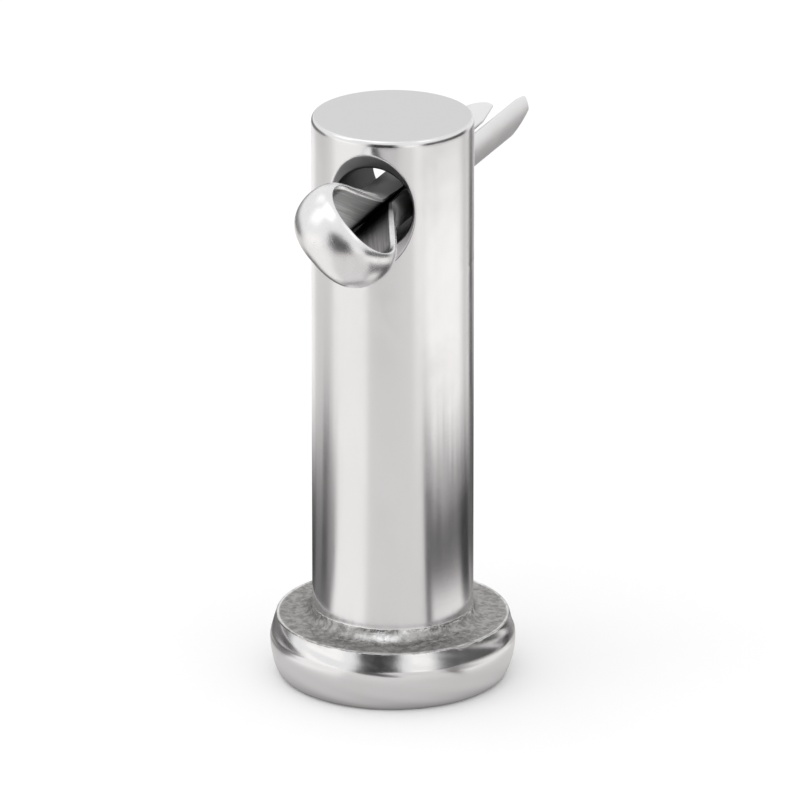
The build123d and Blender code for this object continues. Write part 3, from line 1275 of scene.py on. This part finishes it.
    def surface(self) -> Patch:
        """The whole wire with both tips closed.

        Returns:
            The patch, rows along the wire and columns round it.
        """
        points, normals = self.route()
        distance = np.concatenate([[0], np.cumsum(np.linalg.norm(np.diff(points, axis=0), axis=1))])
        rest = distance[-1] - distance
        pressed = self.smoothed(self.pressing(points, normals), distance, self.press_spread)
        eye = np.clip(pressed / self.eye_depth, 0, 1)
        long_low, long_high = self.tip_limits(distance, self.long_tip)
        short_low, short_high = self.tip_limits(rest, self.short_tip)
        low, high = np.maximum(long_low, short_low), np.minimum(long_high, short_high)
        near_tip = np.clip(np.minimum(distance, rest), 0, self.tip_edge)
        inset = self.tip_edge - np.sqrt(self.tip_edge**2 - (self.tip_edge - near_tip) ** 2)
        edge = self.leg_edge + self.eye_edge * eye
        level, wide, flat, rim = self.section(pressed, low, high, edge, inset)
        level = level - self.closing(points[:, 0])[:, None]
        body = points[:, None] + level[..., None] * normals[:, None]
        grid = self.capped(np.concatenate([body, wide[..., None]], -1))

        cap = len(self.cap_rings)
        ends = np.zeros(len(grid))
        ends[:cap + 1] = ends[-cap - 1:] = 1
        stretch = np.pad(distance, cap, mode="edge")
        columns = np.linspace(0, self.girth, grid.shape[1])
        chart = np.stack(np.meshgrid(stretch, columns, indexing="ij"), -1)
        eye, gap_shade = (np.pad(amount, cap)[:, None] for amount in (eye, self.gap_shade(points[:, 0])))
        masks = {
            Mask.FLAT: flat[None],
            Mask.EDGE: rim * (self.leg_polish + (1 - self.leg_polish) * eye),
            Mask.CUT: ends[:, None],
            Mask.PRESSED: eye,
            # painted shade on the flat sides and corners, where the legs face each other
            Mask.GAP_SHADE: gap_shade * np.minimum(flat + rim, 1),
        }
        return Patch(self.placed(grid), masks, chart)

    def build(self) -> bpy.types.Object:
        """Makes the piece and puts it in place of its solid.

        Returns:
            The finished object.
        """
        masks = [Mask.CUT, Mask.FLAT, Mask.PRESSED, Mask.EDGE, Mask.GAP_SHADE]
        piece = weld("folded_wire", [self.surface()], masks)
        piece.data.materials.append(self.finish.material())
        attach(piece, "split_pin")
        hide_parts("split_pin")
        return piece


# ---------------------------------------------------------------- studio


@dataclass(frozen=True)
class Card:
    """Upright grey card that only reflections see, soft at its edges."""

    name: str
    azimuth: float  # where it stands, as a camera's azimuth
    distance: float
    low: float
    high: float
    width: float
    grey: float
    softness: float  # share of its size over which each edge fades


@dataclass(frozen=True)
class Shade:
    """Soft-edged area of the reflecting sheet round the pin, in a range of azimuths and distances."""

    azimuth: float
    half_width: float
    near: float
    far: float
    grey: float
    edge: float  # degrees over which it fades
    fade: float = 0.25  # share of its distance over which it fades
    streak: float = 0.0  # how unevenly its far end is drawn out


@dataclass(frozen=True)
class Lamp:
    """Square soft lamp that faces the middle of the pin."""

    name: str
    azimuth: float  # where it stands, as a camera's azimuth
    elevation: float
    distance: float
    size: float  # side of its face
    glow: float  # brightness of its face, where white surroundings are 1


def falling(level: np.ndarray) -> np.ndarray:
    """Soft fall from 1 to 0 as a level passes nought: 1 / (1 + e^level)."""
    return 1 / (1 + np.exp(np.clip(level, -60, 60)))


@dataclass
class Studio:
    """Pale floor, white surroundings, soft lamps, reflecting sheet, cards and the camera."""

    azimuth: float = 17.5
    elevation: float = 20.5
    lens: float = 500.0
    filled: float = 0.77  # share of the view's height that the object takes up
    aim: float = 15.0  # height that the lamps face
    floor_rings: tuple[float, ...] = (0.0, 20, 60, 200, 900)
    floor_level: float = -0.02
    floor_greys: tuple[Colour, Colour] = ((0.96, 0.96, 0.96), (0.98, 0.98, 0.98))
    sheet_level: float = -0.01
    sheet_reach: tuple[float, float] = (5.0, 420.0)
    sheet_tint: Colour = (1.0, 0.972, 0.966)
    sheet_grey: float = 1.07
    streak_waves: tuple[int, int] = (23, 96)  # lowest and highest count of streaks round the sheet
    streak_seed: int = 8
    foot: tuple[float, float, float] = (5.4, 0.45, 0.9)  # painted shadow round the head's foot: where it ends, fade and depth
    card_bow: float = 0.3
    card_tint: Colour = (1.0, 0.98, 0.96)
    shades: tuple[Shade, ...] = (
        Shade(15, 32, 0.1, 500, 0.82, 6),
        Shade(50, 9, 0.1, 42, 0.82, 5),
        Shade(-98, 24, 0.1, 500, 0.80, 10),
        Shade(139, 8, 0.1, 500, 0.75, 10),
        Shade(161, 9, 0.1, 120, 0.10, 5),
        Shade(177, 6, 0.1, 120, 0.42, 6),
        Shade(95, 30, 28, 95, 1.22, 8),
        Shade(177, 9, 10, 44, 0.03, 6, 0.24, 0.07),
        Shade(150, 22, 9.8, 18, 0.35, 8),
        Shade(116, 54, 17, 36, 0.13, 6, 0.15, 0.14),
        Shade(92, 6, 30, 40, 0.55, 5, 0.1, 0.10),
        Shade(64, 4, 9, 42, 0.14, 4, 0.18, 0.08),
        Shade(134, 12, 14, 32, 0.05, 6, 0.15, 0.14),
        Shade(-122, 52, 6, 34, 0.20, 8, 0.22, 0.08),
        Shade(-74, 9, 17, 33, 0.30, 5, 0.22, 0.08),
        Shade(-88, 7, 16, 39, 0.10, 5, 0.22, 0.08),
        Shade(-140, 24, 13, 26, 0.05, 8, 0.24, 0.07),
        Shade(0, 200, 0.1, 9.4, 0.70, 5, 0.12),
        Shade(4, 21, 100, 500, 0.08, 6, 0.06),
        Shade(98, 37, 100, 500, 0.10, 6, 0.06),
        Shade(-124, 36, 100, 500, 0.20, 6, 0.06),
    )
    cards: tuple[Card, ...] = (
        Card("card_front", 4, 110, -60, 72, 92, 0.04, 0.22),
        Card("card_right", 98, 110, -40, 44, 180, 0.08, 0.16),
        Card("card_left", -124, 110, -40, 36, 160, 0.20, 0.20),
        Card("card_back", 195, 160, -20, 30, 130, 0.75, 0.20),
        Card("card_pale_left", -50, 112, -24, 38, 100, 1.20, 0.22),
        Card("card_pale_right", 43, 112, -24, 38, 50, 1.20, 0.22),
    )
    lamps: tuple[Lamp, ...] = (
        Lamp("lamp_over", -35, 66, 260, 180, 0.52),
        Lamp("lamp_left", -62, 36, 260, 125, 0.42),
        Lamp("lamp_right", 70, 42, 280, 95, 0.5),
        Lamp("lamp_back", 245, 50, 280, 95, 0.4),
    )

    def toward(self, azimuth: float, elevation: float) -> Vector:
        """Unit vector from the object to a camera at an azimuth and elevation in degrees."""
        a, e = radians(azimuth), radians(elevation)
        return Vector((sin(a) * cos(e), -cos(a) * cos(e), sin(e)))

    def disc(self, name: str, reaches: np.ndarray, height: float, columns: int) -> bpy.types.Object:
        """Flat disc of rings about the origin: each ring is (r sin a, -r cos a).

        Args:
            name: Name of the object.
            reaches: Radius of each ring, from nought.
            height: Its height.
            columns: Points round each ring.

        Returns:
            The object.
        """
        reach, angle = np.broadcast_arrays(reaches[:, None], np.linspace(0, 2 * pi, columns))
        points = np.stack([reach * np.sin(angle), -reach * np.cos(angle), np.full(angle.shape, height)], -1)
        return weld(name, [Patch(points)], [])

    def floor(self) -> None:
        """Round pale floor that keeps the object's shadow."""
        piece = self.disc("floor", np.array(self.floor_rings), self.floor_level, 97)
        material, w = new_material("pale_floor")
        colour = w.mix_colour(w.noise(w.place(0.02), 1.0, 2.0), *self.floor_greys)
        inputs = {"Base Color": colour, "Roughness": 0.9, "Specular IOR Level": 0.0}
        shader = w.add("ShaderNodeBsdfPrincipled", inputs)
        w.add("ShaderNodeOutputMaterial", {"Surface": shader.outputs[0]})
        piece.data.materials.append(material)
        piece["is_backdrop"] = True

    def sheet_greys(self, reach: np.ndarray, azimuth: np.ndarray) -> np.ndarray:
        """Brightness of the sheet: plain, then each shade laid over it with soft edges.

        Args:
            reach: Distances from the pin's axis.
            azimuth: Azimuths in degrees.

        Returns:
            Greys in the shape of both together.
        """
        sideways, lengthways = 4, 2  # how steeply the soft fall takes up each fade
        streaks = ripple(np.radians(azimuth), self.streak_waves, self.streak_seed)
        grey = np.full(np.broadcast_shapes(reach.shape, azimuth.shape), self.sheet_grey)
        for shade in self.shades:
            off = np.abs((azimuth - shade.azimuth + 180) % 360 - 180)
            far = shade.far * (1 + shade.streak * streaks)
            side = falling((off - shade.half_width) / shade.edge * sideways)
            entry = falling((shade.near - reach) / (shade.near * shade.fade) * lengthways)
            leave = falling((reach - far) / (far * shade.fade) * lengthways)
            share = side * entry * leave
            grey = grey * (1 - share) + shade.grey * share
        end, fade, depth = self.foot
        return grey * (1 - depth * np.exp(-np.clip(reach - end, 0, None) / fade))

    def sheet(self) -> None:
        """Sheet on the floor that only reflections see, which gives the steel its light and dark."""
        reaches = np.concatenate([[0.0], np.geomspace(*self.sheet_reach, 70)])
        piece = self.disc("sheet", reaches, self.sheet_level, 541)
        x, y, _ = self.points_of(piece).T / MM
        greys = self.sheet_greys(np.hypot(x, y), np.degrees(np.arctan2(x, -y)))
        layer = piece.data.attributes.new("grey", "FLOAT", "POINT")
        layer.data.foreach_set("value", greys.astype(np.float32))
        material, w = new_material("sheet")
        grey = w.add("ShaderNodeAttribute", attribute_name="grey").outputs["Fac"]
        glow = w.add("ShaderNodeEmission", {"Color": (*self.sheet_tint, 1), "Strength": grey})
        w.add("ShaderNodeOutputMaterial", {"Surface": glow.outputs[0]})
        piece.data.materials.append(material)
        self.reflections_only(piece)

    def reflections_only(self, piece: bpy.types.Object) -> None:
        """Marks a piece of the studio that only glossy rays see."""
        piece.visible_camera = piece.visible_diffuse = piece.visible_shadow = False
        piece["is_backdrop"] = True

    def world(self) -> None:
        """Plain white surroundings at strength 1."""
        world = bpy.data.worlds.new("white surroundings")
        bpy.context.scene.world = world
        world.use_nodes = True
        world.node_tree.nodes.clear()
        w = Wiring(world.node_tree)
        back = w.add("ShaderNodeBackground", {"Color": (1, 1, 1, 1), "Strength": 1.0})
        w.add("ShaderNodeOutputWorld", {"Surface": back.outputs[0]})

    def card(self, card: Card) -> None:
        """Makes one card: a sheet that faces the pin, nearer by bow across^2 / distance at its sides.

        Args:
            card: The card's place, size and grey.
        """
        columns, rows = np.linspace(0, 1, 13), np.linspace(0, 1, 9)
        out = self.toward(card.azimuth, 0)
        side = Vector((-out.y, out.x, 0))
        across = np.linspace(-0.5, 0.5, columns.size) * card.width
        up = np.linspace(card.low, card.high, rows.size)[:, None]
        across, up = np.broadcast_arrays(across, up)
        bow = card.distance - across**2 / card.distance * self.card_bow
        points = np.stack([out.x * bow + side.x * across, out.y * bow + side.y * across, up], -1)
        share = np.stack(np.meshgrid(rows, columns, indexing="ij"), -1)
        piece = weld(card.name, [Patch(points, chart=share)], [])
        material, w = new_material(card.name)
        chart = w.add("ShaderNodeSeparateXYZ", {0: w.add("ShaderNodeUVMap", uv_map="chart").outputs[0]})
        cover: object = 1.0
        for axis in "XY":
            middle = w.maths("ABSOLUTE", w.minus(chart.outputs[axis], 0.5))
            cover = w.times(cover, w.step(middle, 0.5 - card.softness, 0.5, (1.0, 0.0)))
        tint = [card.grey * part for part in self.card_tint]
        glow = w.add("ShaderNodeEmission", {"Color": (*tint, 1)})
        clear = w.add("ShaderNodeBsdfTransparent")
        both = w.add("ShaderNodeMixShader", {0: cover, 1: clear.outputs[0], 2: glow.outputs[0]})
        w.add("ShaderNodeOutputMaterial", {"Surface": both.outputs[0]})
        piece.data.materials.append(material)
        self.reflections_only(piece)

    def lamp(self, lamp: Lamp) -> None:
        """Makes one lamp, whose power is its glow times pi times the area of its face.

        Args:
            lamp: The lamp's place, size and brightness.
        """
        data = bpy.data.lights.new(lamp.name, "AREA")
        data.shape = "SQUARE"
        data.size = lamp.size * MM
        data.energy = lamp.glow * pi * data.size**2
        toward = self.toward(lamp.azimuth, lamp.elevation)
        piece = bpy.data.objects.new(lamp.name, data)
        piece.location = Vector((0, 0, self.aim * MM)) + toward * lamp.distance * MM
        piece.rotation_mode = "QUATERNION"
        piece.rotation_quaternion = toward.to_track_quat("Z", "Y")
        bpy.context.scene.collection.objects.link(piece)

    def camera(self) -> None:
        """Long lens at the viewing angle, aimed at the middle of what it sees of the object."""
        low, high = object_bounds()
        data = bpy.data.cameras.new("camera")
        data.lens = self.lens
        data.clip_start, data.clip_end = 0.01, 10.0
        toward = self.toward(self.azimuth, self.elevation)
        turn = toward.to_track_quat("Z", "Y")
        right, up = turn @ Vector((1, 0, 0)), turn @ Vector((0, 1, 0))
        cloud = np.concatenate([self.points_of(piece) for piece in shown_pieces()])
        spans = [cloud @ np.array(axis) for axis in (right, up)]
        middle = [0.5 * (s.min() + s.max()) for s in spans]
        height = spans[1].max() - spans[1].min()
        distance = height / self.filled / (data.sensor_width / data.lens)
        depth = Vector((low + high) / 2).dot(toward)
        camera = bpy.data.objects.new("camera", data)
        camera.location = right * middle[0] + up * middle[1] + toward * (depth + distance)
        camera.rotation_mode = "QUATERNION"
        camera.rotation_quaternion = turn
        bpy.context.scene.collection.objects.link(camera)
        bpy.context.scene.camera = camera

    def points_of(self, piece: bpy.types.Object) -> np.ndarray:
        """Vertices of a piece in metres.

        Args:
            piece: An object at the origin.

        Returns:
            Points, three to a row.
        """
        flat = np.zeros(len(piece.data.vertices) * 3, np.float32)
        piece.data.vertices.foreach_get("co", flat)
        return flat.reshape(-1, 3)

    def build(self) -> None:
        """Sets everything up round the finished object."""
        bpy.context.scene.view_settings.view_transform = "Standard"
        self.floor()
        self.sheet()
        self.world()
        for card in self.cards:
            self.card(card)
        for lamp in self.lamps:
            self.lamp(lamp)
        self.camera()


def main() -> None:
    """Builds both pieces and the studio."""
    logging.basicConfig(level=logging.INFO, format="%(name)s: %(message)s")
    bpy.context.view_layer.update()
    for part in (ClevisPin(), SplitPin()):
        piece = part.build()
        log.info("%s stands for its solid", piece.name)
    Studio().build()


if __name__ == "__main__":
    main()
